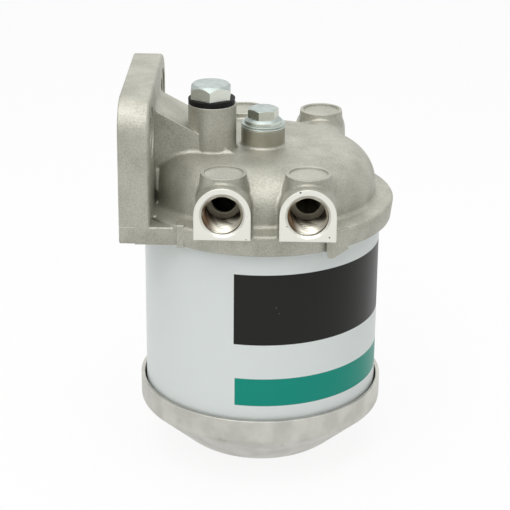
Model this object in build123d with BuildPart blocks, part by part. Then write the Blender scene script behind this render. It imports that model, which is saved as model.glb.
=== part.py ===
from build123d import *
import os
from math import cos, radians, tan

os.makedirs("parts", exist_ok=True)

# A single fuel filter: a die-cast head with a mounting flange and four ports, a filter can
# with its element, and a cast bowl, all held together by one long centre bolt.
# Lengths are millimetres. The origin is on the axis of the can, level with the foot of the
# bowl. The flange faces -X, two ports face -Y and two face +Y.

# Filter can and element
can_radius = 43.5
can_height = 72.5
can_sheet = 0.7            # sheet of the can, its end plates and the centre tube
can_bend = 1.6             # outside radius of the can's rolled rims
can_rim_width = 5.0
can_gap = 0.7              # all round, between the can and the head or the bowl
tube_radius = 9.7          # inside the centre tube
tube_collar_width = 3.4
tube_bend = 0.9
plate_gap = 1.0            # between an end plate and the wall of the can
plate_hole_gap = 0.3       # between an end plate and the centre tube
flow_hole_radius = 3.6
flow_hole_circle = 28.0
flow_hole_count = 12
paper_gap = 0.3            # between the paper and what surrounds it
paper_thickness = 0.6
paper_turns = 7

# Seal rings, squeezed
seal_thickness = 2.0
seal_width = 4.0
seal_gap = 0.3             # from a ring to the wall beside it
seal_curve = 0.5

# Bowl
bowl_seat = 20.3           # where the lower seal ring lies
bowl_lip_depth = 7.15      # from the top of the lip down to that seat
bowl_lip_wall = 1.44
bowl_wall = 3.4
belly_height = 18.7        # where the upright wall turns into the cone
belly_radius = 24.9        # where the cone would meet the plane of the foot
belly_curve = 20.8
bowl_edge_curve = 1.9
foot_edge_curve = 0.8
foot_bore_radius = 12.6
foot_bore_depth = 7.4
bolt_boss_radius = 8.5
bolt_boss_height = 30.0
bolt_boss_draft = 0.6
sump_curve = 3.0
sump_hole_radius = 2.0

# Head: rim, dome and inner chambers
skirt_depth = 4.65         # from the upper seal ring's seat down to the lower edge
skirt_wall = 3.2
rim_flare = 0.9            # the rim is wider at its top
rim_slope = 1.1            # fall of the rim's top face, outwards
rim_roof = 4.0             # from the seat up to the foot of the dome
rim_edge_curve = 1.2
dome_radius = 41.6
dome_height = 21.25        # above the seat
dome_shoulder = 13.5
dome_draft = 0.9           # the foot of the dome is that much wider than its top
head_wall = 4.2
gallery_radius = 22.0      # outside of the clean fuel chamber round the axis
gallery_wall = 3.0

# Mounting flange and the apron that joins it to the rim
flange_face = 49.6         # from the axis to the machined mounting face
flange_thickness = 11.0
flange_width = 78.0
flange_offset = 1.5        # the flange's middle is that far behind the axis
flange_height = 51.0
flange_corner = 12.0
flange_hole_radius = 5.25
flange_hole_spacing = 52.0
flange_hole_drop = 13.9    # from the top of the flange to its holes
flange_spotface_radius = 9.0
flange_spotface_depth = 0.5
apron_height = 6.45
casting_edge = 1.2         # rounding on the outer edges of the casting
casting_fillet = 1.6       # fillet where one cast form grows out of another

# Web from the flange to the vent boss
web_front = 12.3           # its front face is that far before the axis
web_width = 26.5
web_rise = 15.45           # its top above the dome, at the flange
web_angle = 28.2
web_end_fillet = 6.0       # where its slope meets the dome
web_top_fillet = 3.0       # where its top meets the flange

# Ports
port_spacing = 29.35
front_port_shift = 1.83    # middle of the front pair, to the right of the axis
rear_port_shift = 6.97     # middle of the rear pair
port_reach = 51.0          # from the axis to the machined faces
port_body_end = 11.0       # the bodies run in to that distance, inside the dome
port_draft = 0.7           # they are that much narrower there, on each side
port_fillet = 1.5          # where they grow out of the dome
port_half_width = 9.8
port_rise = 11.6           # port axis above the seat
port_floor = 2.65          # underside of the port bodies above the seat
port_thread_radius = 7.0   # major radius of the M14 x 1.5 thread
port_depth = 15.6
port_chamfer = 0.85
passage_radius = 4.4
passage_wall = 1.8         # tubes cast round the two outlet passages
inlet_end = 26.0           # the passages stop that far from the middle plane
outlet_end = 5.0
pad_radius = 8.0
pad_setback = 12.6         # from the machined face back to the pad's middle
pad_rise = 11.5            # above the port axis
pad_draft = 1.3            # the pad is that much wider at the port axis
pad_fillet = 1.0
pad_recess_radius = 6.85
pad_recess_depth = 0.8

# Lug under the right front port, and the small rib by the flange
lug_radius = 49.0
lug_left = 23.4
lug_width = 7.5
lug_tip_width = 2.5
lug_drop = 2.1             # below the lower edge of the rim
lug_curve = 1.4
rib_left = -29.2
rib_width = 2.7
rib_front = 39.9
rib_height = 8.3

# Centre boss with the long bolt, M8
centre_boss_radius = 8.0
centre_boss_height = 6.7   # above the dome
bolt_radius = 4.0
bolt_hole_gap = 0.35       # round the shank, in the head
bolt_engagement = 11.4     # thread held in the bowl
bolt_tip_gap = 1.0         # below the bolt, in its blind hole
bolt_tip_chamfer = 0.9
bolt_flange_radius = 6.75
bolt_flange_rim = 1.0
bolt_flange_rise = 0.9     # height of the cone from the rim to the hexagon's corners
bolt_hex_flats = 10.0
bolt_hex_height = 5.4      # above the washer
bolt_hex_turn = 15.0       # degrees from the X axis to a corner
bolt_washer_radius = 8.0
bolt_washer_thickness = 1.55
bolt_washer_groove = 0.35  # depth of the fold line round its edge
boss_fillet = 1.0          # round the foot of this boss and of the vent boss
o_ring_section = 0.9       # radius of the ring's own section
o_ring_gap = 0.1           # above the ring, under the washer

# Vent boss and its plug, M10
vent_x = -18.8
vent_y = -4.8
vent_boss_shift = 0.5      # the boss is cast that far to the right of its hole
vent_boss_radius = 8.7
vent_boss_height = 16.65   # above the dome
vent_washer_radius = 8.2
vent_washer_bulge = 0.4    # the rubber is squeezed out by that much at mid height
vent_washer_thickness = 2.1
vent_drill_radius = 1.5
vent_drill_offset = 3.0    # from the plug's axis towards the gallery
vent_hex_height = 5.15
vent_hex_turn = -90.0
plug_radius = 5.0
plug_flats = 14.0
plug_tip_chamfer = 1.0
plug_tip_gap = 3.8         # below a plug, in its hole
vent_engagement = 10.0

# Drain plug, M10, in the foot of the bowl
drain_engagement = 6.0
drain_hex_height = 4.6
drain_washer_radius = 8.6
drain_washer_thickness = 1.3
hex_crown_drop = 1.1       # the corners of a plug's hexagon are cut back by that much
hex_crown_inset = 0.65     # and its flat top ends that far inside the flats
screw_fit = 0.05           # between a screw and its tapped hole, all round
hole_gap = 0.3             # between a screw and a washer's hole, all round
edge_margin = 0.05         # for telling edges and faces apart by their place

# Levels and radii that follow from the sizes above
can_bottom = bowl_seat + seal_thickness
can_top = can_bottom + can_height
head_seat = can_top + seal_thickness
socket_radius = can_radius + can_gap
can_inner_radius = can_radius - can_sheet
tube_outer_radius = tube_radius + can_sheet
tube_collar_radius = tube_radius + tube_collar_width
bowl_lip_top = bowl_seat + bowl_lip_depth
bowl_radius = socket_radius + bowl_lip_wall
seat_inner_radius = can_radius - can_rim_width
rim_bottom = head_seat - skirt_depth
rim_radius = socket_radius + skirt_wall
rim_top = head_seat + rim_roof
dome_top = head_seat + dome_height
dome_ceiling = dome_top - head_wall
flange_top = rim_bottom + flange_height
flange_inner = flange_face - flange_thickness
flange_hole_level = flange_top - flange_hole_drop
web_top = dome_top + web_rise
web_run = web_rise / tan(radians(web_angle))
port_axis = head_seat + port_rise
pad_top = port_axis + pad_rise
pad_reach = port_reach - pad_setback
gallery_inner_radius = gallery_radius - gallery_wall
centre_boss_top = dome_top + centre_boss_height
vent_boss_top = dome_top + vent_boss_height
vent_washer_top = vent_boss_top + vent_washer_thickness
o_ring_groove_radius = bolt_radius + bolt_hole_gap + 2 * o_ring_section
o_ring_groove_depth = 2 * o_ring_section + o_ring_gap
bolt_washer_top = centre_boss_top + bolt_washer_thickness
bolt_tip = bolt_boss_height - bolt_engagement
bolt_hole_bottom = bolt_tip - bolt_tip_gap
drain_washer_bottom = foot_bore_depth - drain_washer_thickness
drain_tip = foot_bore_depth + drain_engagement
sump_floor = foot_bore_depth + bowl_wall
front, rear = -1, 1
port_places = [
    (side, shift + half * port_spacing / 2, side * half < 0)
    for side, shift in ((front, front_port_shift), (rear, rear_port_shift))
    for half in (-1, 1)
]                          # side, X of the axis, and whether it is an outlet


def hexagon_head(flats, height, turn, crown):
    """A hexagon from Z = 0 up, with a coned crown of a plug's size times crown."""
    with BuildPart() as head:
        with BuildSketch():
            RegularPolygon(flats / 2, 6, major_radius=False, rotation=turn)
        extrude(amount=height)
        corner_radius = flats / 2 / cos(radians(30))
        with BuildSketch(Plane.XZ):
            with BuildLine():
                Polyline(
                    (0, 0),
                    (corner_radius, 0),
                    (corner_radius, height - crown * hex_crown_drop),
                    (flats / 2 - crown * hex_crown_inset, height),
                    (0, height),
                    close=True,
                )
            make_face()
        revolve(axis=Axis.Z, mode=Mode.INTERSECT)
    return head.part


def cast_boss(radius, top):
    """An upright boss with a fillet round its foot, from inside the dome up to the given level."""
    with BuildPart() as boss:
        with BuildSketch(Plane.XZ):
            with BuildLine():
                foot = radius + 1.5 * boss_fillet
                FilletPolyline(
                    (foot, port_axis),
                    (foot, dome_top),
                    (radius, dome_top),
                    (radius, top),
                    radius=[0, boss_fillet],
                )
                Polyline((radius, top), (0, top), (0, port_axis), (foot, port_axis))
            make_face()
        revolve(axis=Axis.Z)
    return boss.part


def port_outline(half_width):
    """The outline of a port body round its axis: half a circle above, and square corners below."""
    drop = port_rise - port_floor
    with BuildSketch() as outline:
        with BuildLine():
            Polyline((half_width, 0), (half_width, -drop), (-half_width, -drop), (-half_width, 0))
            ThreePointArc((-half_width, 0), (0, half_width), (half_width, 0))
        make_face()
    return outline.sketch


def edges_across(part, axis, level):
    """The edges of a part that lie wholly in the plane across an axis at that level."""
    found = []
    for edge in part.edges():
        box = edge.bounding_box()
        if abs(getattr(box.min, axis) - level) + abs(getattr(box.max, axis) - level) < edge_margin:
            found.append(edge)
    return found


# Head: rim and dome, turned about the axis
with BuildPart() as dome:
    with BuildSketch(Plane.XZ):
        with BuildLine():
            FilletPolyline(
                (0, rim_bottom),
                (rim_radius, rim_bottom),
                (rim_radius + rim_flare, rim_top - rim_slope),
                (dome_radius, rim_top),
                (dome_radius - dome_draft, dome_top),
                (0, dome_top),
                radius=[casting_edge / 2, rim_edge_curve, casting_fillet, dome_shoulder],
            )
            Line((0, dome_top), (0, rim_bottom))
        make_face()
    revolve(axis=Axis.Z)

# Mounting flange, a thick plate with rounded upper corners
with BuildPart() as flange:
    with BuildSketch(Plane.YZ.offset(-flange_face)) as flange_outline:
        with Locations((flange_offset, rim_bottom)):
            Rectangle(flange_width, flange_height, align=(Align.CENTER, Align.MIN))
        fillet(flange_outline.vertices().group_by(Axis.Y)[-1], flange_corner)
        fillet(flange_outline.vertices().group_by(Axis.Y)[0], casting_edge)
    extrude(amount=flange_thickness)
    fillet(flange.faces().sort_by(Axis.X)[-1].edges(), casting_edge)
    fillet(flange.faces().sort_by(Axis.X)[0].edges(), casting_edge / 2)

# Apron, the level ledge that fills the corners between the flange and the round rim
with BuildPart() as apron:
    with BuildSketch(Plane.XY.offset(rim_bottom)):
        with Locations((-flange_face + flange_thickness / 2, flange_offset)):
            Rectangle(flange_face, flange_width - casting_edge / 4, align=(Align.MIN, Align.CENTER))
    extrude(amount=apron_height)
    fillet(apron.faces().sort_by(Axis.Z)[-1].edges().filter_by(Axis.X), casting_edge / 2)

# Web that slopes down from the flange to the dome, behind and beside the vent boss
with BuildPart() as web:
    with BuildSketch(Plane.XZ.offset(web_front)):
        with BuildLine():
            Polyline(
                (-flange_inner - flange_thickness / 2, rim_top),
                (-flange_inner - flange_thickness / 2, web_top),
                (-flange_inner, web_top),
                (-flange_inner + web_run, dome_top),
                (-flange_inner + web_run, rim_top),
                close=True,
            )
        make_face()
    extrude(amount=-web_width)

# Bosses for the centre bolt and the vent plug
centre_boss = cast_boss(centre_boss_radius, centre_boss_top)
vent_boss = cast_boss(vent_boss_radius, vent_boss_top)

# Port bodies, which narrow inwards and sink into the dome
port_outer_outline = port_outline(port_half_width)
port_inner_outline = port_outline(port_half_width - port_draft)
with BuildPart() as port_bodies:
    for side, port_x, is_outlet in port_places:
        with BuildSketch(Plane.XZ.offset(-side * port_reach)):
            with Locations((port_x, port_axis)):
                add(port_outer_outline)
        with BuildSketch(Plane.XZ.offset(-side * port_body_end)):
            with Locations((port_x, port_axis)):
                add(port_inner_outline)
        loft()

# Round pads on top of the port bodies
with BuildPart() as pads:
    for side, port_x, is_outlet in port_places:
        with BuildSketch(Plane.XY.offset(port_axis)):
            with Locations((port_x, side * pad_reach)):
                Circle(pad_radius + pad_draft)
        with BuildSketch(Plane.XY.offset(pad_top)):
            with Locations((port_x, side * pad_reach)):
                Circle(pad_radius)
        loft()

# Lug on the rim below the right front port
with BuildPart() as lug:
    with BuildSketch(Plane.XZ):
        with BuildLine():
            FilletPolyline(
                (lug_left, rim_top - rim_slope),
                (lug_left, rim_bottom - lug_drop),
                (lug_left + lug_tip_width, rim_bottom - lug_drop),
                (lug_left + lug_width, rim_bottom),
                (lug_left + lug_width, rim_top - rim_slope),
                radius=[lug_curve, lug_curve / 2, 0],
            )
            Line((lug_left + lug_width, rim_top - rim_slope), (lug_left, rim_top - rim_slope))
        make_face()
    extrude(amount=lug_radius)
    with BuildSketch(Plane.XY.offset(rim_bottom - lug_drop)):
        Circle(lug_radius)
    extrude(amount=lug_drop + rim_top - rim_bottom, mode=Mode.INTERSECT)

# Small upright rib where the rim meets the apron
with BuildPart() as rib:
    with BuildSketch(Plane.XY.offset(rim_bottom)):
        with Locations((rib_left, -rib_front)):
            Rectangle(rib_width, rib_width * 2, align=(Align.MIN, Align.MIN))
    extrude(amount=rib_height)
    fillet(rib.faces().sort_by(Axis.Y)[0].edges(), casting_edge / 3)

# Tubes cast round the two outlet passages, from the port bodies to the gallery
with BuildPart() as passage_tubes:
    for side, port_x, is_outlet in port_places:
        if is_outlet:
            with BuildSketch(Plane.XZ.offset(-side * (outlet_end - passage_wall))):
                with Locations((port_x, port_axis)):
                    Circle(passage_radius + passage_wall)
            extrude(amount=-side * (port_reach - port_depth - outlet_end + passage_wall))

# The chambers inside the head, as the cores that leave them in the casting
with BuildPart() as chamber_cores:
    with BuildSketch(Plane.XZ):
        with BuildLine():
            dome_inner_radius = dome_radius - dome_draft - head_wall
            FilletPolyline(
                (gallery_radius, head_seat),
                (gallery_radius, dome_ceiling),
                (dome_inner_radius, dome_ceiling),
                (dome_inner_radius + dome_draft, head_seat),
                radius=[casting_fillet, dome_shoulder - head_wall],
            )
            Line((dome_inner_radius + dome_draft, head_seat), (gallery_radius, head_seat))
        make_face()
    revolve(axis=Axis.Z)
    add(passage_tubes.part, mode=Mode.SUBTRACT)
    with BuildSketch(Plane.XZ):
        with BuildLine():
            Polyline(
                (0, head_seat),
                (tube_radius, head_seat),
                (tube_radius, head_seat + gallery_wall),
                (gallery_inner_radius, head_seat + gallery_wall),
                (gallery_inner_radius, dome_ceiling),
                (0, dome_ceiling),
                close=True,
            )
        make_face()
    revolve(axis=Axis.Z)

# The main cast forms, joined in steps, with a fillet where each grows out of the ones before
with BuildPart() as casting:
    add(dome.part)
    add(port_bodies.part)
    seams = []
    for edge in casting.edges().filter_by_position(Axis.Z, rim_top + edge_margin, dome_top):
        off_axis = (edge.center().X ** 2 + edge.center().Y ** 2) ** 0.5
        curved = edge.geom_type in (GeomType.BSPLINE, GeomType.HYPERBOLA)
        if curved and off_axis < dome_radius + rim_edge_curve:
            seams.append(edge)
    fillet(seams, port_fillet)

    add(pads.part)
    seams = []
    for face in casting.faces().filter_by(lambda face: face.geom_type in (GeomType.CONE, GeomType.BSPLINE)):
        if abs(face.bounding_box().max.Z - pad_top) < edge_margin:
            for edge in face.edges():
                below = edge.bounding_box().max.Z < pad_top - edge_margin
                if below and edge.geom_type != GeomType.LINE:
                    seams.append(edge)
    fillet(seams, pad_fillet)

    add(flange.part)
    add(web.part)
    for web_side in (web_width - web_front, -web_front):
        seams = []
        for edge in edges_across(casting, "Y", web_side):
            box = edge.bounding_box()
            on_dome = box.min.Z > rim_top + rim_slope and box.max.Z < dome_top + edge_margin
            if on_dome and edge.center().X > -flange_inner:
                seams.append(edge)
        fillet(seams, casting_fillet)
    slope_end = edges_across(casting, "X", -flange_inner + web_run)
    fillet([edge for edge in slope_end if abs(edge.center().Z - dome_top) < edge_margin], web_end_fillet)
    slope_start = edges_across(casting, "X", -flange_inner)
    fillet([edge for edge in slope_start if abs(edge.center().Z - web_top) < edge_margin], web_top_fillet)

# Head, with the smaller forms, and then machined
with BuildPart() as filter_head:
    add(casting.part)
    add(apron.part)
    add(centre_boss)
    with Locations((vent_x + vent_boss_shift, vent_y, 0)):
        add(vent_boss)
    add(lug.part)
    add(rib.part)

    # Socket for the can, closed by the seat of the upper seal ring, and the chambers above
    with BuildSketch(Plane.XY.offset(head_seat)):
        Circle(socket_radius)
    extrude(amount=-(skirt_depth + lug_drop), mode=Mode.SUBTRACT)
    add(chamber_cores.part, mode=Mode.SUBTRACT)

    # Round pads: a shallow recess leaves a raised ring
    with BuildSketch(Plane.XY.offset(pad_top)):
        for side, port_x, is_outlet in port_places:
            with Locations((port_x, side * pad_reach)):
                Circle(pad_recess_radius)
    extrude(amount=-pad_recess_depth, mode=Mode.SUBTRACT)

    # Threaded ports, each with a passage to the outer chamber or to the gallery
    for side, port_x, is_outlet in port_places:
        port_face = Plane.XZ.offset(-side * port_reach)
        with BuildSketch(port_face):
            with Locations((port_x, port_axis)):
                Circle(port_thread_radius + screw_fit)
        extrude(amount=side * port_depth, mode=Mode.SUBTRACT)
        with BuildSketch(port_face):
            with Locations((port_x, port_axis)):
                Circle(port_thread_radius + screw_fit + port_chamfer)
        extrude(amount=side * port_chamfer, taper=45, mode=Mode.SUBTRACT)
        with BuildSketch(Plane.XZ.offset(-side * (port_reach - port_depth))):
            with Locations((port_x, port_axis)):
                Circle(passage_radius)
        passage_end = outlet_end if is_outlet else inlet_end
        extrude(amount=side * (port_reach - port_depth - passage_end), mode=Mode.SUBTRACT)

    # Centre bolt's hole, with a groove for its ring
    with BuildSketch(Plane.XY.offset(centre_boss_top)):
        Circle(bolt_radius + bolt_hole_gap)
    extrude(amount=-(centre_boss_height + head_wall), mode=Mode.SUBTRACT)
    with BuildSketch(Plane.XY.offset(centre_boss_top)):
        Circle(o_ring_groove_radius)
    extrude(amount=-o_ring_groove_depth, mode=Mode.SUBTRACT)

    # Vent plug's tapped hole, and the drilling from it down to the gallery
    with BuildSketch(Plane.XY.offset(vent_boss_top)):
        with Locations((vent_x, vent_y)):
            Circle(plug_radius + screw_fit)
    extrude(amount=-(vent_engagement + plug_tip_gap), mode=Mode.SUBTRACT)
    with BuildSketch(Plane.XY.offset(vent_boss_top - vent_engagement)):
        with Locations((vent_x + vent_drill_offset, vent_y)):
            Circle(vent_drill_radius)
    extrude(amount=-(vent_boss_height + 2 * head_wall - vent_engagement), mode=Mode.SUBTRACT)

    # Bolt holes in the flange, spot-faced on the inner side
    for half in (-1, 1):
        hole_y = flange_offset + half * flange_hole_spacing / 2
        with BuildSketch(Plane.YZ.offset(-flange_inner)):
            with Locations((hole_y, flange_hole_level)):
                Circle(flange_hole_radius)
        extrude(amount=-flange_thickness, mode=Mode.SUBTRACT)
        with BuildSketch(Plane.YZ.offset(-flange_inner)):
            with Locations((hole_y, flange_hole_level)):
                Circle(flange_spotface_radius)
        extrude(amount=-flange_spotface_depth, mode=Mode.SUBTRACT)
filter_head.part.label = "filter_head"
export_step(filter_head.part, "parts/filter_head.step")

# Bowl, turned in one profile: the outside from the foot to the lip, then the inside from the
# lip down to the moat round the drain boss, the centre boss and its two holes
with BuildPart() as base_bowl:
    with BuildSketch(Plane.XZ):
        with BuildLine():
            cone_run = (bowl_radius - belly_radius) / belly_height
            wall_run = bowl_wall * (1 + cone_run**2) ** 0.5
            moat_outer_radius = belly_radius - wall_run + bowl_wall * cone_run
            seat_level = (seat_inner_radius - belly_radius + wall_run) / cone_run
            moat_inner_radius = foot_bore_radius + bowl_wall
            FilletPolyline(
                (0, drain_tip + plug_tip_gap / 2),
                (plug_radius + screw_fit, drain_tip + plug_tip_gap / 2),
                (plug_radius + screw_fit, foot_bore_depth),
                (foot_bore_radius, foot_bore_depth),
                (foot_bore_radius, 0),
                (belly_radius, 0),
                (bowl_radius, belly_height),
                (bowl_radius, bowl_lip_top),
                (socket_radius, bowl_lip_top),
                (socket_radius, bowl_seat),
                (seat_inner_radius, bowl_seat),
                (seat_inner_radius, seat_level),
                (moat_outer_radius, bowl_wall),
                (moat_inner_radius, bowl_wall),
                (moat_inner_radius, sump_floor),
                (bolt_boss_radius + bolt_boss_draft, sump_floor),
                (bolt_boss_radius, bolt_boss_height),
                (bolt_radius + screw_fit, bolt_boss_height),
                (bolt_radius + screw_fit, bolt_hole_bottom),
                (0, bolt_hole_bottom),
                radius=[
                    0, 0, sump_curve / 3, foot_edge_curve, belly_curve, bowl_edge_curve, 0.2,
                    0.2, 0, 0.3, sump_curve, 2 * sump_curve, sump_curve / 2, sump_curve / 2,
                    sump_curve / 3, 0.5, 0, 0,
                ],
            )
            Line((0, bolt_hole_bottom), (0, drain_tip + plug_tip_gap / 2))
        make_face()
    revolve(axis=Axis.Z)

    # Holes across the drain boss, level with the sump's floor
    for across in (Plane.XZ, Plane.YZ):
        with BuildSketch(across):
            with Locations((0, sump_floor + sump_hole_radius)):
                Circle(sump_hole_radius)
        extrude(amount=bolt_boss_radius + 2 * bolt_boss_draft, both=True, mode=Mode.SUBTRACT)
base_bowl.part.label = "base_bowl"
export_step(base_bowl.part, "parts/base_bowl.step")

# Can: a sheet-metal cylinder with both rims rolled inwards
with BuildPart() as element_can:
    with BuildSketch(Plane.XZ):
        with BuildLine():
            FilletPolyline(
                (seat_inner_radius, can_bottom),
                (can_radius, can_bottom),
                (can_radius, can_top),
                (seat_inner_radius, can_top),
                (seat_inner_radius, can_top - can_sheet),
                (can_inner_radius, can_top - can_sheet),
                (can_inner_radius, can_bottom + can_sheet),
                (seat_inner_radius, can_bottom + can_sheet),
                radius=[can_bend, can_bend, 0, 0, can_bend - can_sheet, can_bend - can_sheet],
            )
            Line((seat_inner_radius, can_bottom + can_sheet), (seat_inner_radius, can_bottom))
        make_face()
    revolve(axis=Axis.Z)
element_can.part.label = "element_can"
export_step(element_can.part, "parts/element_can.step")


def end_plate(level):
    """A pierced plate, up from the given level, that holds one end of the paper."""
    with BuildPart() as plate:
        with BuildSketch(Plane.XY.offset(level)):
            Circle(can_inner_radius - plate_gap)
            Circle(tube_outer_radius + plate_hole_gap, mode=Mode.SUBTRACT)
            with PolarLocations(flow_hole_circle, flow_hole_count):
                Circle(flow_hole_radius, mode=Mode.SUBTRACT)
        extrude(amount=can_sheet)
        edges_by_size = plate.edges().filter_by(GeomType.CIRCLE).group_by(SortBy.RADIUS)
        chamfer(edges_by_size[-1], can_sheet / 3)
    return plate.part


element_top_plate = end_plate(can_top - 2 * can_sheet)
element_top_plate.label = "element_top_plate"
export_step(element_top_plate, "parts/element_top_plate.step")

element_bottom_plate = end_plate(can_bottom + can_sheet)
element_bottom_plate.label = "element_bottom_plate"
export_step(element_bottom_plate, "parts/element_bottom_plate.step")

# Centre tube, with a collar rolled over each end plate
with BuildPart() as element_centre_tube:
    with BuildSketch(Plane.XZ):
        with BuildLine():
            tube_inner_bend = tube_bend - can_sheet
            FilletPolyline(
                (tube_collar_radius, can_top),
                (tube_radius, can_top),
                (tube_radius, can_bottom),
                (tube_collar_radius, can_bottom),
                (tube_collar_radius, can_bottom + can_sheet),
                (tube_outer_radius, can_bottom + can_sheet),
                (tube_outer_radius, can_top - can_sheet),
                (tube_collar_radius, can_top - can_sheet),
                radius=[tube_bend, tube_bend, 0, 0, tube_inner_bend, tube_inner_bend],
            )
            Line((tube_collar_radius, can_top - can_sheet), (tube_collar_radius, can_top))
        make_face()
    revolve(axis=Axis.Z)
element_centre_tube.part.label = "element_centre_tube"
export_step(element_centre_tube.part, "parts/element_centre_tube.step")

# Filter paper, rolled round the tube; its turns are glued in pairs, above and below by turns,
# so that each gap between them is a V that opens up or down
with BuildPart() as filter_paper:
    paper_bottom = can_bottom + 2 * can_sheet
    paper_top = can_top - 2 * can_sheet
    first_fold = tube_outer_radius + paper_gap + paper_thickness / 2
    last_fold = can_inner_radius - paper_gap - paper_thickness / 2
    fold_step = (last_fold - first_fold) / (2 * paper_turns)
    glued_height = (paper_top - paper_bottom) * paper_thickness / (2 * fold_step)
    upper_line = []
    lower_line = []
    for fold in range(2 * paper_turns + 1):
        fold_radius = first_fold + fold * fold_step
        left_edge, right_edge = fold_radius - paper_thickness / 2, fold_radius + paper_thickness / 2
        if fold % 2:
            upper_line += [(fold_radius, paper_bottom + glued_height)]
            lower_line += [(left_edge, paper_bottom), (right_edge, paper_bottom)]
        else:
            upper_line += [(left_edge, paper_top), (right_edge, paper_top)]
            lower_line += [(fold_radius, paper_top - glued_height)]
    lower_line[0] = upper_line[0]
    lower_line[-1] = upper_line[-1]
    with BuildSketch(Plane.XZ):
        with BuildLine():
            Polyline(*upper_line, *reversed(lower_line[1:-1]), close=True)
        make_face()
    revolve(axis=Axis.Z)
filter_paper.part.label = "filter_paper"
export_step(filter_paper.part, "parts/filter_paper.step")


def flat_ring(inner_radius, outer_radius, level):
    """A squeezed rubber ring with rounded edges, up from the given level."""
    with BuildPart() as ring:
        with BuildSketch(Plane.XZ):
            with Locations(((inner_radius + outer_radius) / 2, level + seal_thickness / 2)):
                RectangleRounded(outer_radius - inner_radius, seal_thickness, seal_curve)
        revolve(axis=Axis.Z)
    return ring.part


seal_outer_radius = socket_radius - seal_gap
head_seal_ring = flat_ring(seal_outer_radius - seal_width, seal_outer_radius, can_top)
head_seal_ring.label = "head_seal_ring"
export_step(head_seal_ring, "parts/head_seal_ring.step")

base_seal_ring = flat_ring(seal_outer_radius - seal_width, seal_outer_radius, bowl_seat)
base_seal_ring.label = "base_seal_ring"
export_step(base_seal_ring, "parts/base_seal_ring.step")

inner_seal_ring = flat_ring(tube_radius + seal_gap, tube_collar_radius, can_top)
inner_seal_ring.label = "inner_seal_ring"
export_step(inner_seal_ring, "parts/inner_seal_ring.step")

# Centre bolt: a hexagon on a coned flange, and a shank down to the boss in the bowl
bolt_hexagon = hexagon_head(bolt_hex_flats, bolt_hex_height, bolt_hex_turn, 0.5)
bolt_hex_corner = bolt_hex_flats / 2 / cos(radians(30))
with BuildPart() as centre_bolt:
    with Locations((0, 0, bolt_washer_top)):
        add(bolt_hexagon)
    with BuildSketch(Plane.XZ):
        with BuildLine():
            Polyline(
                (0, bolt_tip),
                (bolt_radius - bolt_tip_chamfer, bolt_tip),
                (bolt_radius, bolt_tip + bolt_tip_chamfer),
                (bolt_radius, bolt_washer_top),
                (bolt_flange_radius, bolt_washer_top),
                (bolt_flange_radius, bolt_washer_top + bolt_flange_rim),
                (bolt_hex_corner, bolt_washer_top + bolt_flange_rim + bolt_flange_rise),
                (0, bolt_washer_top + bolt_flange_rim + bolt_flange_rise),
                close=True,
            )
        make_face()
    revolve(axis=Axis.Z)
centre_bolt.part.label = "centre_bolt"
export_step(centre_bolt.part, "parts/centre_bolt.step")

# Washer under the bolt, two layers folded together, with the fold line round its edge
with BuildPart() as centre_bolt_washer:
    with BuildSketch(Plane.XZ):
        with BuildLine():
            FilletPolyline(
                (bolt_radius + hole_gap, centre_boss_top),
                (bolt_washer_radius, centre_boss_top),
                (bolt_washer_radius, centre_boss_top + bolt_washer_thickness / 2 - bolt_washer_groove),
                (bolt_washer_radius - bolt_washer_groove, centre_boss_top + bolt_washer_thickness / 2),
                (bolt_washer_radius, centre_boss_top + bolt_washer_thickness / 2 + bolt_washer_groove),
                (bolt_washer_radius, bolt_washer_top),
                (bolt_radius + hole_gap, bolt_washer_top),
                radius=[bolt_washer_groove / 2, 0, 0, 0, bolt_washer_groove / 2],
            )
            Line((bolt_radius + hole_gap, bolt_washer_top), (bolt_radius + hole_gap, centre_boss_top))
        make_face()
    revolve(axis=Axis.Z)
centre_bolt_washer.part.label = "centre_bolt_washer"
export_step(centre_bolt_washer.part, "parts/centre_bolt_washer.step")

# Ring in the groove round the bolt
with BuildPart() as centre_bolt_o_ring:
    with BuildSketch(Plane.XZ):
        ring_centre = (bolt_radius + o_ring_groove_radius) / 2
        with Locations((ring_centre, centre_boss_top - o_ring_groove_depth + o_ring_section)):
            Circle(o_ring_section)
    revolve(axis=Axis.Z)
centre_bolt_o_ring.part.label = "centre_bolt_o_ring"
export_step(centre_bolt_o_ring.part, "parts/centre_bolt_o_ring.step")


def plug(hex_height, washer_thickness, engagement, turn):
    """An M10 plug, standing on Z = 0: the hexagon above, the shank through its washer below."""
    hexagon = hexagon_head(plug_flats, hex_height, turn, 1)
    tip = -washer_thickness - engagement
    with BuildPart() as body:
        add(hexagon)
        with BuildSketch(Plane.XZ):
            with BuildLine():
                Polyline(
                    (0, tip),
                    (plug_radius - plug_tip_chamfer, tip),
                    (plug_radius, tip + plug_tip_chamfer),
                    (plug_radius, 0),
                    (0, 0),
                    close=True,
                )
            make_face()
        revolve(axis=Axis.Z)
    return body.part


vent_body = plug(vent_hex_height, vent_washer_thickness, vent_engagement, vent_hex_turn)
with BuildPart() as vent_plug:
    with Locations((vent_x, vent_y, vent_washer_top)):
        add(vent_body)
vent_plug.part.label = "vent_plug"
export_step(vent_plug.part, "parts/vent_plug.step")

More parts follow.
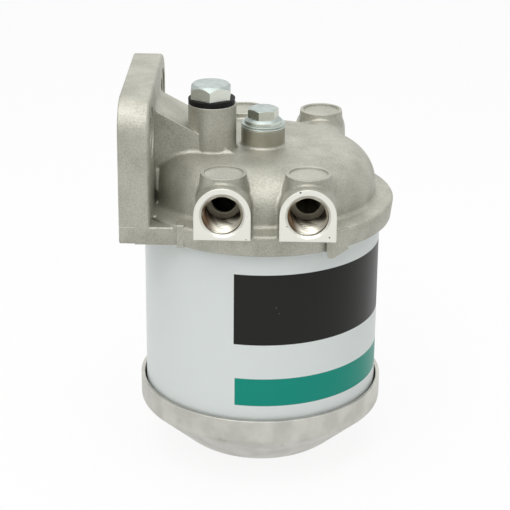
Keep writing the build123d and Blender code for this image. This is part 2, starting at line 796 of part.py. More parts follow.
# Rubber washer of the vent plug, squeezed out round its middle
with BuildPart() as vent_plug_washer:
    washer_plane = Plane((vent_x, vent_y, vent_boss_top), x_dir=(1, 0, 0), z_dir=(0, -1, 0))
    with BuildSketch(washer_plane):
        with BuildLine():
            Line((vent_washer_radius, 0), (plug_radius + hole_gap, 0))
            Line((plug_radius + hole_gap, 0), (plug_radius + hole_gap, vent_washer_thickness))
            Line(
                (plug_radius + hole_gap, vent_washer_thickness),
                (vent_washer_radius, vent_washer_thickness),
            )
            ThreePointArc(
                (vent_washer_radius, vent_washer_thickness),
                (vent_washer_radius + vent_washer_bulge, vent_washer_thickness / 2),
                (vent_washer_radius, 0),
            )
        make_face()
    revolve(axis=Axis((vent_x, vent_y, vent_boss_top), (0, 0, 1)))
vent_plug_washer.part.label = "vent_plug_washer"
export_step(vent_plug_washer.part, "parts/vent_plug_washer.step")

# Drain plug, the same kind of plug upside down in the foot of the bowl
drain_body = plug(drain_hex_height, drain_washer_thickness, drain_engagement, 0)
with BuildPart() as drain_plug:
    with Locations(Location((0, 0, drain_washer_bottom), (180, 0, 0))):
        add(drain_body)
drain_plug.part.label = "drain_plug"
export_step(drain_plug.part, "parts/drain_plug.step")

with BuildPart() as drain_plug_washer:
    with BuildSketch(Plane.XY.offset(drain_washer_bottom)):
        Circle(drain_washer_radius)
        Circle(plug_radius + hole_gap, mode=Mode.SUBTRACT)
    extrude(amount=drain_washer_thickness)
    rim_edges = drain_plug_washer.edges().filter_by(GeomType.CIRCLE).group_by(SortBy.RADIUS)
    fillet(rim_edges[-1], drain_washer_thickness / 4)
drain_plug_washer.part.label = "drain_plug_washer"
export_step(drain_plug_washer.part, "parts/drain_plug_washer.step")
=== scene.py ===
import math

import bmesh
import bpy
from mathutils import Matrix, Vector, noise


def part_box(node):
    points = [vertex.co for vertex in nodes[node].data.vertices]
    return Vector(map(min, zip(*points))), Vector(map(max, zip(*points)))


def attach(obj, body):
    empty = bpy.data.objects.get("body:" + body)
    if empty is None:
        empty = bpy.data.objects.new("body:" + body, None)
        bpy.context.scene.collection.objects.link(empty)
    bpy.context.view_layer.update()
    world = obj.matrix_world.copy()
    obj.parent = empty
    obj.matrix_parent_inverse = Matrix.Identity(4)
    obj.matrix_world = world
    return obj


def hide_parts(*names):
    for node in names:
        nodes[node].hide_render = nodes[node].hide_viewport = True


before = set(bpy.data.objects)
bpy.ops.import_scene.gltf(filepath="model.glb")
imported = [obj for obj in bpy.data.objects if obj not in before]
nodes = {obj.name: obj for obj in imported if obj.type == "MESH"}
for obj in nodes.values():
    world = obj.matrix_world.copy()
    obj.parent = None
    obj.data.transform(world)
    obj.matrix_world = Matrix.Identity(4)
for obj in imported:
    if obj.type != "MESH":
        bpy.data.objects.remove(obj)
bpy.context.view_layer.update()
print("frame loaded:", len(nodes), "pieces")


# small tools for node trees, materials and meshes

class Wire:
    # one socket of a node, so that node maths reads as plain expressions
    def __init__(self, net, socket):
        self.net = net
        self.socket = socket

    def maths(self, operation, *values):
        return self.net.node("ShaderNodeMath", {"operation": operation}, dict(enumerate(values)))

    def __add__(self, other):
        return self.maths("ADD", self, other)

    def __radd__(self, other):
        return self.maths("ADD", other, self)

    def __sub__(self, other):
        return self.maths("SUBTRACT", self, other)

    def __rsub__(self, other):
        return self.maths("SUBTRACT", other, self)

    def __mul__(self, other):
        return self.maths("MULTIPLY", self, other)

    def __rmul__(self, other):
        return self.maths("MULTIPLY", other, self)

    def __truediv__(self, other):
        return self.maths("DIVIDE", self, other)

    def __pow__(self, other):
        return self.maths("POWER", self, other)

    def __gt__(self, other):
        return self.maths("GREATER_THAN", self, other)

    def __abs__(self):
        return self.maths("ABSOLUTE", self)

    def least(self, other):
        return self.maths("MINIMUM", self, other)

    def most(self, other):
        return self.maths("MAXIMUM", self, other)

    def rise(self, low, high):      # 0 below low, 1 above high, smooth between
        ends = {0: self, 1: low, 2: high, 3: 0.0, 4: 1.0}
        return self.net.node("ShaderNodeMapRange", {"interpolation_type": "SMOOTHSTEP"}, ends)

    def between(self, low, high, soft):
        return self.rise(low - soft, low + soft) * (1 - self.rise(high - soft, high + soft))


class Net:
    # a node tree while it is made, of a material or of geometry
    def __init__(self, tree):
        self.tree = tree

    def node(self, kind, settings=None, sockets=None, output=0):
        made = self.tree.nodes.new(kind)
        for name, value in (settings or {}).items():
            setattr(made, name, value)
        for key, value in (sockets or {}).items():
            if isinstance(value, Wire):
                self.tree.links.new(value.socket, made.inputs[key])
            else:
                made.inputs[key].default_value = value
        return Wire(self, made.outputs[output]) if made.outputs else None

    def split(self, vector):
        parts = self.node("ShaderNodeSeparateXYZ", {}, {0: vector})
        return [Wire(self, socket) for socket in parts.socket.node.outputs]

    def join(self, x, y, z):
        return self.node("ShaderNodeCombineXYZ", {}, {0: x, 1: y, 2: z})

    def place(self):
        return self.node("ShaderNodeTexCoord", {}, {}, "Object")

    def stretched(self, scale):
        return self.node("ShaderNodeMapping", {}, {"Vector": self.place(), "Scale": scale})

    def grain(self, size, detail=2.0, rough=0.5, vector=None):      # size in metres
        sockets = {"Vector": vector or self.place(), "Scale": 1 / size, "Detail": detail, "Roughness": rough}
        return self.node("ShaderNodeTexNoise", {}, sockets)

    def away(self, place, centre):  # distance of a place from a point
        return self.node("ShaderNodeVectorMath", {"operation": "DISTANCE"}, {0: place, 1: centre}, 1)

    def spot(self, place, centre, radius):
        return 1 - self.away(place, centre).rise(radius * 0.6, radius * 1.4)

    def mix(self, share, low, high):
        sockets = {0: share, 6: low, 7: high}
        return self.node("ShaderNodeMix", {"data_type": "RGBA"}, sockets, 2)

    def bump(self, height, distance, strength=1.0, normal=None):
        sockets = {"Height": height, "Distance": distance, "Strength": strength}
        if normal:
            sockets["Normal"] = normal
        return self.node("ShaderNodeBump", {}, sockets)

    def rounded(self, radius):      # the normal of a surface with its edges rounded off
        return self.node("ShaderNodeBevel", {"samples": 8}, {"Radius": radius})

    def edges(self, rounded):       # above 0 on edges and in corners, 0 on open faces
        plain = self.node("ShaderNodeNewGeometry", {}, {}, "Normal")
        return 1 - self.node("ShaderNodeVectorMath", {"operation": "DOT_PRODUCT"}, {0: rounded, 1: plain}, 1)

    def openness(self, distance):   # 1 in the open, towards 0 in corners and hollows
        return self.node("ShaderNodeAmbientOcclusion", {"samples": 6}, {"Distance": distance}, "AO")


def tone(red, green, blue):         # a colour as a photograph's values give it
    def straight(value):
        value /= 255
        return value / 12.92 if value <= 0.04045 else ((value + 0.055) / 1.055) ** 2.4
    return (straight(red), straight(green), straight(blue), 1)


cloudy = (0.3, 0.7)                 # the part of a noise's range that makes soft clouds


def startMaterial(name):
    material = bpy.data.materials.new(name)
    material.use_nodes = True
    material.node_tree.nodes.clear()
    return material, Net(material.node_tree)


def finishMaterial(net, sockets):
    surface = net.node("ShaderNodeBsdfPrincipled", {}, sockets)
    net.node("ShaderNodeOutputMaterial", {}, {"Surface": surface})


def dress(names, material):
    for name in names:
        piece = nodes[name]
        piece.data.materials.clear()
        piece.data.materials.append(material)


def addPiece(name, mesh, material, body):
    piece = bpy.data.objects.new(name, mesh)
    bpy.context.scene.collection.objects.link(piece)
    mesh.materials.clear()
    mesh.materials.append(material)
    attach(piece, body)
    return piece


def smoothFaces(mesh, angle):
    mesh.polygons.foreach_set("use_smooth", [True] * len(mesh.polygons))
    mesh.set_sharp_from_angle(angle=math.radians(angle))


def roundAngles(count):
    return [2 * math.pi * step / count for step in range(count)]


def joinRings(shape, rings):        # faces between each ring of points and the next one
    for ring, following in zip(rings, rings[1:]):
        for step in range(len(ring)):
            after = (step + 1) % len(ring)
            shape.faces.new((ring[step], ring[after], following[after], following[step]))


def finishMesh(shape, name, angle):
    bmesh.ops.recalc_face_normals(shape, faces=shape.faces)
    mesh = bpy.data.meshes.new(name)
    shape.to_mesh(mesh)
    shape.free()
    smoothFaces(mesh, angle)
    return mesh


# head: die-cast aluminium, with machined faces on the ports and the flange

head = {
    "castDark": tone(152, 151, 139),
    "castLight": tone(190, 189, 178),
    # painted highlight colour, for rounded edges, the parting line and the pads
    "paintedHighlight": tone(220, 220, 209),
    "hollowShade": tone(112, 108, 92),
    "machined": tone(234, 233, 224),
    "paintedGlint": tone(255, 254, 246),
    "mounting": tone(206, 205, 197),
    "turned": tone(158, 155, 139),
    "nick": tone(96, 92, 84),
    "bore": tone(186, 178, 156),
    "blotches": (0.011, 3),         # grains: size, detail and roughness
    "speckle": (0.00055, 2, 0.6),
    "skin": (0.0024, 3, 0.55),
    "nickGrain": (0.0016, 2, 0.5),
    "skinHeight": 0.00014,
    "cutHeight": 0.00003,
    "edge": 0.0005,                 # rounding of the cast edges, in the shading
    "reach": 0.006,                 # how far the painted shade in a hollow reaches
    "soft": 0.0001,                 # width of the border between two colours
    "faceSkins": (0.00003, 0.00006),            # a machined colour ends that far below its face
    "portFace": 0.051,
    "portAxis": 0.1084,
    "portSpacing": 0.02935,
    "portMiddle": 0.0044,           # halfway between the middles of the front and the rear pair
    "portOffset": 0.00257,
    "boreRadius": 0.0071,
    "mouthRadius": 0.0088,          # outside of the chamfer round a port
    "padLevel": 0.1191,             # the round recess on top of a port, blasted matt, its colour painted a little lighter against the reflected shade on it
    "padReach": 0.0384,
    "padRadius": 0.0070,
    "padHalf": 0.0004,
    "flangeFace": -0.0496,
    "flangeInside": -0.0440,
    "domeTop": 0.11805,
    "turnedRadius": 0.0081,         # the centre boss, turned on a lathe
    "turnedLevels": (0.0008, 0.0012),           # above the dome's top
    "boreEnds": (0.020, 0.024),                 # from the filter's middle, where the bores begin
    "mouthEnds": (0.0492, 0.0496),              # and where their chamfers do
    "partingLevel": 0.0986,         # where the halves of the die met, seen on the flange's side, drawn as a painted highlight line
    "partingHalf": 0.00012,
    "partingWave": 0.0006,
    "glintAcross": (-0.03825, -0.0370),        # a painted glint: a bright strip on the fillet of the dome beside the flange
    "glintLevels": (0.1054, 0.1122),
    "glintSpots": [                # place and radius
        ((-0.0375, -0.0187, 0.1014), 0.0006),
        ((-0.0376, -0.0292, 0.0998), 0.0006),
    ],
    "nicks": [                      # place on the machined faces, and radius
        ((0.0137, -0.051, 0.1173), 0.00035),
        ((0.0239, -0.051, 0.1012), 0.00028),
        ((0.0093, -0.051, 0.1049), 0.00022),
        ((-0.0046, -0.051, 0.0999), 0.00020),
    ],
}


def fromPort(x, y, z):              # how far left of, above and away from the axis of the nearest port
    middle = head["portMiddle"] - head["portOffset"] + (y > 0) * (2 * head["portOffset"])
    pairSide = ((x - middle) > 0) * head["portSpacing"] - head["portSpacing"] / 2
    left = (x - middle - pairSide) * -1
    up = z - head["portAxis"]
    return left, up, (left * left + up * up) ** 0.5


def makeCastAluminium():
    material, net = startMaterial("castAluminium")
    place = net.place()
    x, y, z = net.split(place)
    blotches = net.grain(*head["blotches"])
    speckle = net.grain(*head["speckle"])
    skin = net.grain(*head["skin"])
    rounded = net.rounded(head["edge"])
    edge = net.edges(rounded)
    clear = net.openness(head["reach"])
    patches = blotches.rise(*cloudy) * 0.5 + speckle.rise(*cloudy) * 0.5
    cast = net.mix(patches, head["castDark"], head["castLight"])
    # painted highlight: rounded edges in the open are lightened
    cast = net.mix((edge * 3).least(1) * clear.rise(0.3, 0.8) * 0.6, cast, head["paintedHighlight"])
    # painted shade: hollows and corners are darkened by how closed in they are
    cast = net.mix((1 - clear.rise(0.1, 0.62)) * 0.16, cast, head["hollowShade"])
    # the die's parting line, painted bright as a thin highlight
    wave = z + (blotches - 0.5) * head["partingWave"]
    half = head["partingHalf"]
    parting = wave.between(head["partingLevel"] - half, head["partingLevel"] + half, head["soft"])
    parting = parting * (1 - x.rise(head["flangeInside"], head["flangeInside"] + 0.0004))
    cast = net.mix(parting * 0.5, cast, head["paintedHighlight"])

    left, up, offAxis = fromPort(x, y, z)

    # machined: the faces of the ports and the flange, and the sides of the centre boss
    thin, thick = head["faceSkins"]
    portFace = abs(y).rise(head["portFace"] - thick, head["portFace"] - thin)
    flangeFace = 1 - x.rise(head["flangeFace"] + thin, head["flangeFace"] + thick)
    atMouth = abs(y).rise(*head["mouthEnds"])
    mouth = (1 - offAxis.rise(head["mouthRadius"], head["mouthRadius"] + head["soft"])) * atMouth
    machined = portFace.most(flangeFace).most(mouth * 0.85)
    boltAway = (x * x + y * y) ** 0.5
    low, high = head["turnedLevels"]
    turned = 1 - boltAway.rise(head["turnedRadius"], head["turnedRadius"] + 3 * head["soft"])
    turned = turned * z.rise(head["domeTop"] + low, head["domeTop"] + high)
    nicked = net.grain(*head["nickGrain"]).rise(0.7, 0.76) * 0.25
    for centre, radius in head["nicks"]:
        nicked = nicked.most(net.spot(place, centre, radius))
    # painted glint on the fillet between the dome and the flange: a strip and two spots
    paintedGlint = x.between(*head["glintAcross"], 2 * head["soft"])
    paintedGlint = paintedGlint * z.between(*head["glintLevels"], 6 * head["soft"])
    for centre, radius in head["glintSpots"]:
        paintedGlint = paintedGlint.most(net.spot(place, centre, radius))
    cast = net.mix(paintedGlint * 0.95, cast, head["paintedGlint"])
    bare = net.mix(flangeFace, head["machined"], head["mounting"])
    colour = net.mix(machined, cast, net.mix(nicked, bare, head["nick"]))
    colour = net.mix(turned * 0.85, colour, head["turned"])

    inBore = 1 - offAxis.rise(head["boreRadius"], head["boreRadius"] + head["soft"])
    inBore = inBore * abs(y).rise(*head["boreEnds"]) * (1 - atMouth)
    colour = net.mix(inBore, colour, head["bore"])

    roundCuts = net.node("ShaderNodeTexWave", {"wave_type": "RINGS", "rings_direction": "Z"},
                         {"Vector": place, "Scale": 260.0, "Distortion": 1.0, "Detail": 2.0})
    along = abs(y) - head["padReach"]
    inner, outer = head["padRadius"], head["padRadius"] + 2 * head["soft"]
    pad = 1 - (left * left + along * along).rise(inner ** 2, outer ** 2)
    half = head["padHalf"]
    pad = pad * z.between(head["padLevel"] - half, head["padLevel"] + half, head["soft"])
    # painted a little lighter on the pads, against the reflected shade there
    colour = net.mix(pad * 0.2, colour, head["paintedHighlight"])
    normal = net.bump(skin, head["skinHeight"], 0.5, rounded)
    normal = net.bump(speckle, head["skinHeight"], 0.8, normal)
    normal = net.bump(roundCuts * turned, head["cutHeight"], 0.5, normal)
    finishMaterial(net, {
        "Base Color": colour,
        "Metallic": 0.75 - pad * 0.6 - paintedGlint * 0.6,
        "Roughness": 0.45 + skin * 0.12 + pad * 0.2 - machined * 0.12 - turned * 0.14,
        "Normal": normal,
    })
    return material


castAluminium = makeCastAluminium()
dress(["filter_head"], castAluminium)
print("head dressed")


# bowl: cast and tumbled, smoother than the head, with faint stains

bowl = {
    "dark": tone(188, 187, 180),
    "light": tone(206, 205, 198),
    "stain": tone(146, 139, 118),
    "cloud": (0.008, 3, 0.5),
    "cloudHeight": 0.00012,
    "fine": (0.0009, 2, 0.5),
    "fineHeight": 0.00004,
    "ragged": (0.0014, 3, 0.6),
    "edge": 0.0005,
    "stains": [                     # middle of a stain and its radius
        ((-0.0135, -0.0437, 0.0170), 0.0024),
        ((-0.0086, -0.0450, 0.0152), 0.0021),
        ((0.0095, -0.0446, 0.0156), 0.0022),
        ((0.0128, -0.0437, 0.0158), 0.0012),
    ],
}


def makeTumbledAluminium():
    material, net = startMaterial("tumbledAluminium")
    place = net.place()
    cloud = net.grain(*bowl["cloud"])
    fine = net.grain(*bowl["fine"])
    ragged = net.grain(*bowl["ragged"])
    colour = net.mix(cloud.rise(*cloudy), bowl["dark"], bowl["light"])
    for centre, radius in bowl["stains"]:
        distance = net.away(place, centre) + (ragged - 0.5) * (2.2 * radius)
        ring = distance.between(radius * 0.55, radius, radius * 0.25)
        colour = net.mix(ring * 0.4 + (1 - distance.rise(0, radius)) * 0.12, colour, bowl["stain"])
    rounded = net.rounded(bowl["edge"])
    edge = net.edges(rounded)
    # painted highlight on the rounded edges of the bowl
    colour = net.mix((edge * 4).least(1) * 0.6, colour, head["paintedHighlight"])
    normal = net.bump(cloud, bowl["cloudHeight"], 0.4, rounded)
    finishMaterial(net, {
        "Base Color": colour,
        "Metallic": 1.0,
        "Roughness": 0.42 + cloud * 0.1,
        "Normal": net.bump(fine, bowl["fineHeight"], 0.6, normal),
    })
    return material


dress(["base_bowl"], makeTumbledAluminium())
print("bowl dressed")


# can: sheet metal printed white, with a black and a green band

can = {
    "white": tone(217, 223, 221),
    "black": tone(28, 28, 26),
    "green": tone(0, 138, 121),
    "speck": tone(96, 92, 84),
    "radius": 0.0435,
    "blackLevels": (0.05675, 0.08365),
    "greenLevels": (0.03275, 0.04345),
    "blackStart": -11.9,            # degrees round from the front
    "greenStart": -11.3,
    "bandEnd": 250.0,
    "edge": 0.00008,
    "orangePeel": (0.0016, 2),
    "peelHeight": 0.00002,
    "waves": (0.02, 2),
    "waveHeight": 0.0002,
    "specks": [(8.0, 0.0713, 0.00020), (9.5, 0.0690, 0.00016)],     # degrees, level, radius
}


def makePrintedCan():
    material, net = startMaterial("printedCan")
    place = net.place()
    x, y, z = net.split(place)
    turn = net.node("ShaderNodeMath", {"operation": "ARCTAN2"}, {0: x, 1: 0 - y})
    soft = can["edge"] / can["radius"]
    end = math.radians(can["bandEnd"]) - 2 * math.pi
    past = 1 - turn.rise(end - soft, end + soft)
    colour = can["white"]
    for name in ("black", "green"):
        start = math.radians(can[name + "Start"])
        printed = turn.rise(start - soft, start + soft).most(past)
        band = z.between(*can[name + "Levels"], can["edge"]) * printed
        colour = net.mix(band, colour, can[name])
    for degrees, level, radius in can["specks"]:
        angle = math.radians(degrees)
        centre = (can["radius"] * math.sin(angle), -can["radius"] * math.cos(angle), level)
        colour = net.mix(1 - net.away(place, centre).rise(radius * 0.5, radius * 1.5), colour, can["speck"])
    orangePeel = net.grain(*can["orangePeel"])
    waves = net.grain(*can["waves"])
    finishMaterial(net, {
        "Base Color": colour,
        "Roughness": 0.3 + waves * 0.1,
        "Specular IOR Level": 0.2,
        "Normal": net.bump(orangePeel, can["peelHeight"], 0.4, net.bump(waves, can["waveHeight"], 0.2)),
    })
    return material


dress(["element_can"], makePrintedCan())
print("can dressed")


# screws: zinc-plated steel

plating = {
    "shadow": tone(164, 174, 170),
    "colour": tone(180, 189, 185),
    "flat": tone(200, 202, 191),    # the flats of the hexagons
    "shadedFlat": tone(144, 146, 131),    # those that face left, painted shade
    "bright": tone(226, 230, 220),  # those that face right, painted highlight
    "worn": tone(232, 234, 230),
    "cloud": (0.0022, 3),
    "cloudHeight": 0.00002,
    "pits": (0.0005, 2, 0.6),
    "scratches": (0.0005, 2, 0.5),
    "scratchShape": (1, 1, 0.15),
    "scratchHeight": 0.000015,
    "wear": (0.0012, 2),
    "edge": 0.00016,
}


def makeZincPlated():
    material, net = startMaterial("zincPlated")
    cloud = net.grain(*plating["cloud"])
    pits = net.grain(*plating["pits"])
    scratches = net.grain(*plating["scratches"], net.stretched(plating["scratchShape"]))
    rounded = net.rounded(plating["edge"])
    edge = net.edges(rounded)
    x, _, z = net.split(net.node("ShaderNodeTexCoord", {}, {}, "Normal"))
    colour = net.mix(cloud.rise(0.35, 0.7), plating["shadow"], plating["colour"])
    upright = 1 - abs(z).rise(0.1, 0.3)
    # painted shade and highlight by the way a flat faces: shaded to the left, lit to the right
    flats = net.mix(x.rise(-0.72, -0.45), plating["shadedFlat"], plating["flat"])
    flats = net.mix(x.rise(0.25, 0.55), flats, plating["bright"])
    flats = net.mix(pits.rise(0.5, 0.75) * 0.5, flats, plating["worn"])
    colour = net.mix(upright, colour, flats)
    worn = (edge * 6).least(1) * net.grain(*plating["wear"]).rise(0.4, 0.55)
    colour = net.mix(worn * 0.6, colour, plating["worn"])
    normal = net.bump(cloud, plating["cloudHeight"], 0.4, rounded)
    finishMaterial(net, {
        "Base Color": colour,
        "Metallic": 0.75,
        "Roughness": 0.36 + scratches * 0.14,
        "Normal": net.bump(scratches, plating["scratchHeight"], 0.35, normal),
    })
    return material


zincPlated = makeZincPlated()
dress(["centre_bolt_washer"], zincPlated)
print("plating made")


# threads: one Geometry Nodes tree for screws and one for tapped holes

threads = {
    "around": 48,                   # faces in one turn
    "rowsPerTurn": 8,
    "fade": 0.8,                    # the ridge fades in and out over that part of a pitch
    "steep": 1.35,                  # slope of the flanks, which leaves flat crests and roots
    "seam": 0.000001,
    "sharp": 30,                    # degrees between faces that stay a sharp edge
}


def makeThreadTree(name, inside):
    # rows of points round an axis, down from the start; the first and last rows close the shape
    tree = bpy.data.node_groups.new(name, "GeometryNodeTree")
    net = Net(tree)
    given = tree.nodes.new("NodeGroupInput")
    wires = {}
    tree.interface.new_socket("Points", in_out="INPUT", socket_type="NodeSocketGeometry")
    for label in ("Radius", "Depth", "Pitch", "Length", "Plain", "Tip", "Wall"):
        tree.interface.new_socket(label, in_out="INPUT", socket_type="NodeSocketFloat")
    for label in ("Rows", "Around"):
        tree.interface.new_socket(label, in_out="INPUT", socket_type="NodeSocketInt")
    tree.interface.new_socket("Material", in_out="INPUT", socket_type="NodeSocketMaterial")
    tree.interface.new_socket("Thread", in_out="OUTPUT", socket_type="NodeSocketGeometry")
    for socket in given.outputs:
        wires[socket.name] = Wire(net, socket)

    closing = 3 if inside else 2
    grid = net.node("GeometryNodeMeshGrid", {}, {
        "Size X": 1.0, "Size Y": 1.0,
        "Vertices X": wires["Rows"] + closing, "Vertices Y": wires["Around"] + 1,
    })
    across, along, up = net.split(net.node("GeometryNodeInputPosition"))
    rowCount = wires["Rows"] + (closing - 1)
    row = net.node("ShaderNodeMath", {"operation": "ROUND"}, {0: (across + 0.5) * rowCount})
    turn = along + 0.5
    share = ((row - 1) / (wires["Rows"] - 1)).most(0).least(1)
    z = share * wires["Length"]
    phase = net.node("ShaderNodeMath", {"operation": "FRACT"}, {0: z / wires["Pitch"] - turn + 8})
    flat = (threads["steep"] - 1) / 2
    groove = (abs(phase * 2 - 1) * threads["steep"] - flat).most(0).least(1)
    fade = wires["Pitch"] * threads["fade"]
    if inside:
        groove = groove * z.rise(0, fade) * (wires["Length"] - z).rise(0, fade)
        radius = wires["Radius"] - wires["Depth"] * groove
        closed = (1 - (row > 0.5)).most(row > wires["Rows"] + 0.5)
        radius = radius + closed * (wires["Wall"] - radius)
        z = z * (1 - (row > wires["Rows"] + 1.5))
    else:
        groove = groove.most(1 - z.rise(wires["Plain"], wires["Plain"] + fade))
        radius = wires["Radius"] - wires["Depth"] * groove
        radius = radius.least(wires["Radius"] - wires["Tip"] + (wires["Length"] - z))
        radius = radius * (row > 0.5) * (1 - (row > wires["Rows"] + 0.5))
    angle = turn * (2 * math.pi)
    sine = net.node("ShaderNodeMath", {"operation": "SINE"}, {0: angle})
    cosine = net.node("ShaderNodeMath", {"operation": "COSINE"}, {0: angle})
    place = net.join(radius * cosine, radius * sine, z)
    bent = net.node("GeometryNodeSetPosition", {}, {"Geometry": grid, "Position": place})
    closedUp = net.node("GeometryNodeMergeByDistance", {}, {"Geometry": bent, "Distance": threads["seam"]})
    aim = net.node("GeometryNodeInputNamedAttribute", {"data_type": "FLOAT_VECTOR"}, {"Name": "aim"})
    turned = net.node("FunctionNodeAlignRotationToVector", {"axis": "Z"}, {"Vector": aim})
    laid = net.node("GeometryNodeInstanceOnPoints", {}, {
        "Points": wires["Points"], "Instance": closedUp, "Rotation": turned,
    })
    real = net.node("GeometryNodeRealizeInstances", {}, {"Geometry": laid})
    done = net.node("GeometryNodeSetMaterial", {}, {"Geometry": real, "Material": wires["Material"]})
    net.node("NodeGroupOutput", {}, {0: done})
    return tree


def makeThread(name, tree, places, material, sizes):
    # places holds the start of each thread and the way that it runs
    points = bpy.data.meshes.new(name + "Points")
    points.from_pydata([start for start, aim in places], [], [])
    aims = points.attributes.new("aim", "FLOAT_VECTOR", "POINT")
    for index, (start, aim) in enumerate(places):
        aims.data[index].vector = aim
    maker = bpy.data.objects.new(name + "Maker", points)
    bpy.context.scene.collection.objects.link(maker)
    modifier = maker.modifiers.new(name, "NODES")
    modifier.node_group = tree
    sizes = dict(sizes, Material=material, Around=threads["around"])
    sizes["Rows"] = round(sizes["Length"] / sizes["Pitch"] * threads["rowsPerTurn"])
    for item in tree.interface.items_tree:
        if item.in_out == "INPUT" and item.name in sizes:
            modifier[item.identifier] = sizes[item.name]
    evaluated = maker.evaluated_get(bpy.context.evaluated_depsgraph_get())
    mesh = bpy.data.meshes.new_from_object(evaluated)
    mesh.name = name
    bpy.data.objects.remove(maker)
    return mesh


def pointOutwards(mesh):
    shape = bmesh.new()
    shape.from_mesh(mesh)
    bmesh.ops.remove_doubles(shape, verts=shape.verts, dist=1e-7)
    bmesh.ops.recalc_face_normals(shape, faces=shape.faces)
    shape.to_mesh(mesh)
    shape.free()


# tapped ports: bright cut aluminium, browned by the cutting oil on one side

tapped = {
    "bright": tone(214, 211, 198),
    "brown": tone(104, 78, 54),
    "sideShade": tone(126, 118, 100),
    "groove": tone(108, 98, 78),
    "deepShade": tone(84, 74, 58),
    "radius": 0.0070,
    "depth": 0.00082,
    "pitch": 0.0015,
    "length": 0.0145,
    "wall": 0.007045,
    "mouth": 0.05012,
    "grooveRadii": (0.00625, 0.0069),           # the roots of the thread are darker
    "grooveDepths": (0.0008, 0.002),
    "sideShadeAcross": (0.0030, 0.0062),
    "deepShadeDepths": (0.004, 0.012),
    "stainAcross": (0.0022, 0.0052),            # the oil stain, to the left of the axis and not above it
    "stainUp": (0.002, 0.006),
    "stainGrain": (0.004, 2),
    "cuts": (0.0004, 2, 0.5),
    "cutShape": (0.25, 3, 0.25),
    "cutHeight": 0.00003,
    "shoulder": [                   # round the step behind the thread: radius, and |y|
        (0.00703, 0.03545), (0.00440, 0.03545), (0.00440, 0.03380), (0.00703, 0.03380),
    ],
    "places": [(-1, 0.00183), (1, 0.00697)],    # side, and middle of that pair
}


def makeTappedAluminium():
    material, net = startMaterial("tappedAluminium")
    x, y, z = net.split(net.place())
    left, up, offAxis = fromPort(x, y, z)
    depth = tapped["mouth"] - abs(y)
    stain = left.rise(*tapped["stainAcross"]) * (1 - up.rise(*tapped["stainUp"]))
    stain = stain * net.grain(*tapped["stainGrain"]).rise(0.2, 0.45)
    inGroove = offAxis.rise(*tapped["grooveRadii"]) * depth.rise(*tapped["grooveDepths"])
    colour = net.mix(inGroove * 0.85, tapped["bright"], tapped["groove"])
    # painted shade on both sides of the bore, which leaves a painted highlight streak down its middle
    colour = net.mix(abs(left).rise(*tapped["sideShadeAcross"]) * 0.8, colour, tapped["sideShade"])
    colour = net.mix(stain * 0.85, colour, tapped["brown"])
    # painted shade, darker deeper into the bore
    colour = net.mix(depth.rise(*tapped["deepShadeDepths"]) * 0.85, colour, tapped["deepShade"])
    cuts = net.grain(*tapped["cuts"], net.stretched(tapped["cutShape"]))
    finishMaterial(net, {
        "Base Color": colour,
        "Metallic": 1.0,
        "Roughness": 0.3 + cuts * 0.12,
        "Normal": net.bump(cuts, tapped["cutHeight"], 0.4),
    })
    return material


screwThread = makeThreadTree("screwThread", inside=False)
holeThread = makeThreadTree("holeThread", inside=True)
portStarts = []
for side, middle in tapped["places"]:
    for half in (-0.5, 0.5):
        start = (middle + half * head["portSpacing"], side * tapped["mouth"], head["portAxis"])
        portStarts.append((start, (0, -side, 0)))
tappedAluminium = makeTappedAluminium()
portMesh = makeThread("portThreads", holeThread, portStarts, tappedAluminium, {
    "Radius": tapped["radius"], "Depth": tapped["depth"], "Pitch": tapped["pitch"],
    "Length": tapped["length"], "Wall": tapped["wall"],
})
pointOutwards(portMesh)
smoothFaces(portMesh, threads["sharp"])
addPiece("portThreads", portMesh, tappedAluminium, "filter")


def makeShoulders():                # the step between the thread and the passage behind it
    shape = bmesh.new()
    for (x, _, z), (_, way, _) in portStarts:
        rings = []
        for radius, distance in tapped["shoulder"]:
            ring = []
            for angle in roundAngles(threads["around"]):
                place = (x + radius * math.cos(angle), -way * distance, z + radius * math.sin(angle))
                ring.append(shape.verts.new(place))
            rings.append(ring)
        joinRings(shape, rings + rings[:1])
    return finishMesh(shape, "portShoulders", threads["sharp"])


addPiece("portShoulders", makeShoulders(), castAluminium, "filter")
print("ports tapped:", len(portMesh.polygons), "faces")


# the three screws: the vent plug's hexagon is made here and the other heads are the CAD's, all of
# them on shanks with a real thread

screws = {
    # cut is the level where the thread takes over, and tip is its end
    # the crown cuts the corners of the hexagon back by a cone, from that radius down at that slope
    "vent_plug": {
        "piece": "ventPlug", "body": "vent_screw", "axis": (-0.0188, -0.0048), "cut": 0.13682, "tip": 0.1247,
        "radius": 0.00498, "depth": 0.00061, "pitch": 0.001, "plain": 0.0022, "chamfer": 0.0009,
        "flats": 0.014, "crownRadius": 0.0064, "crownSlope": 1.05, "corner": -math.pi / 2, "around": 96,
    },
    "centre_bolt": {
        "piece": "centreBolt", "body": "bolt", "axis": (0.0, 0.0), "cut": 0.04060, "tip": 0.01860,
        "radius": 0.00398, "depth": 0.00076, "pitch": 0.00125, "plain": 0.0004, "chamfer": 0.0009,
    },
    "drain_plug": {
        "piece": "drainPlug", "body": "drain_screw", "axis": (0.0, 0.0), "cut": 0.00620, "tip": 0.01340,
        "radius": 0.00498, "depth": 0.00061, "pitch": 0.001, "plain": 0.0012, "chamfer": 0.0009,
    },
}
stubOverlap = 0.00005               # the shank starts that far inside the head


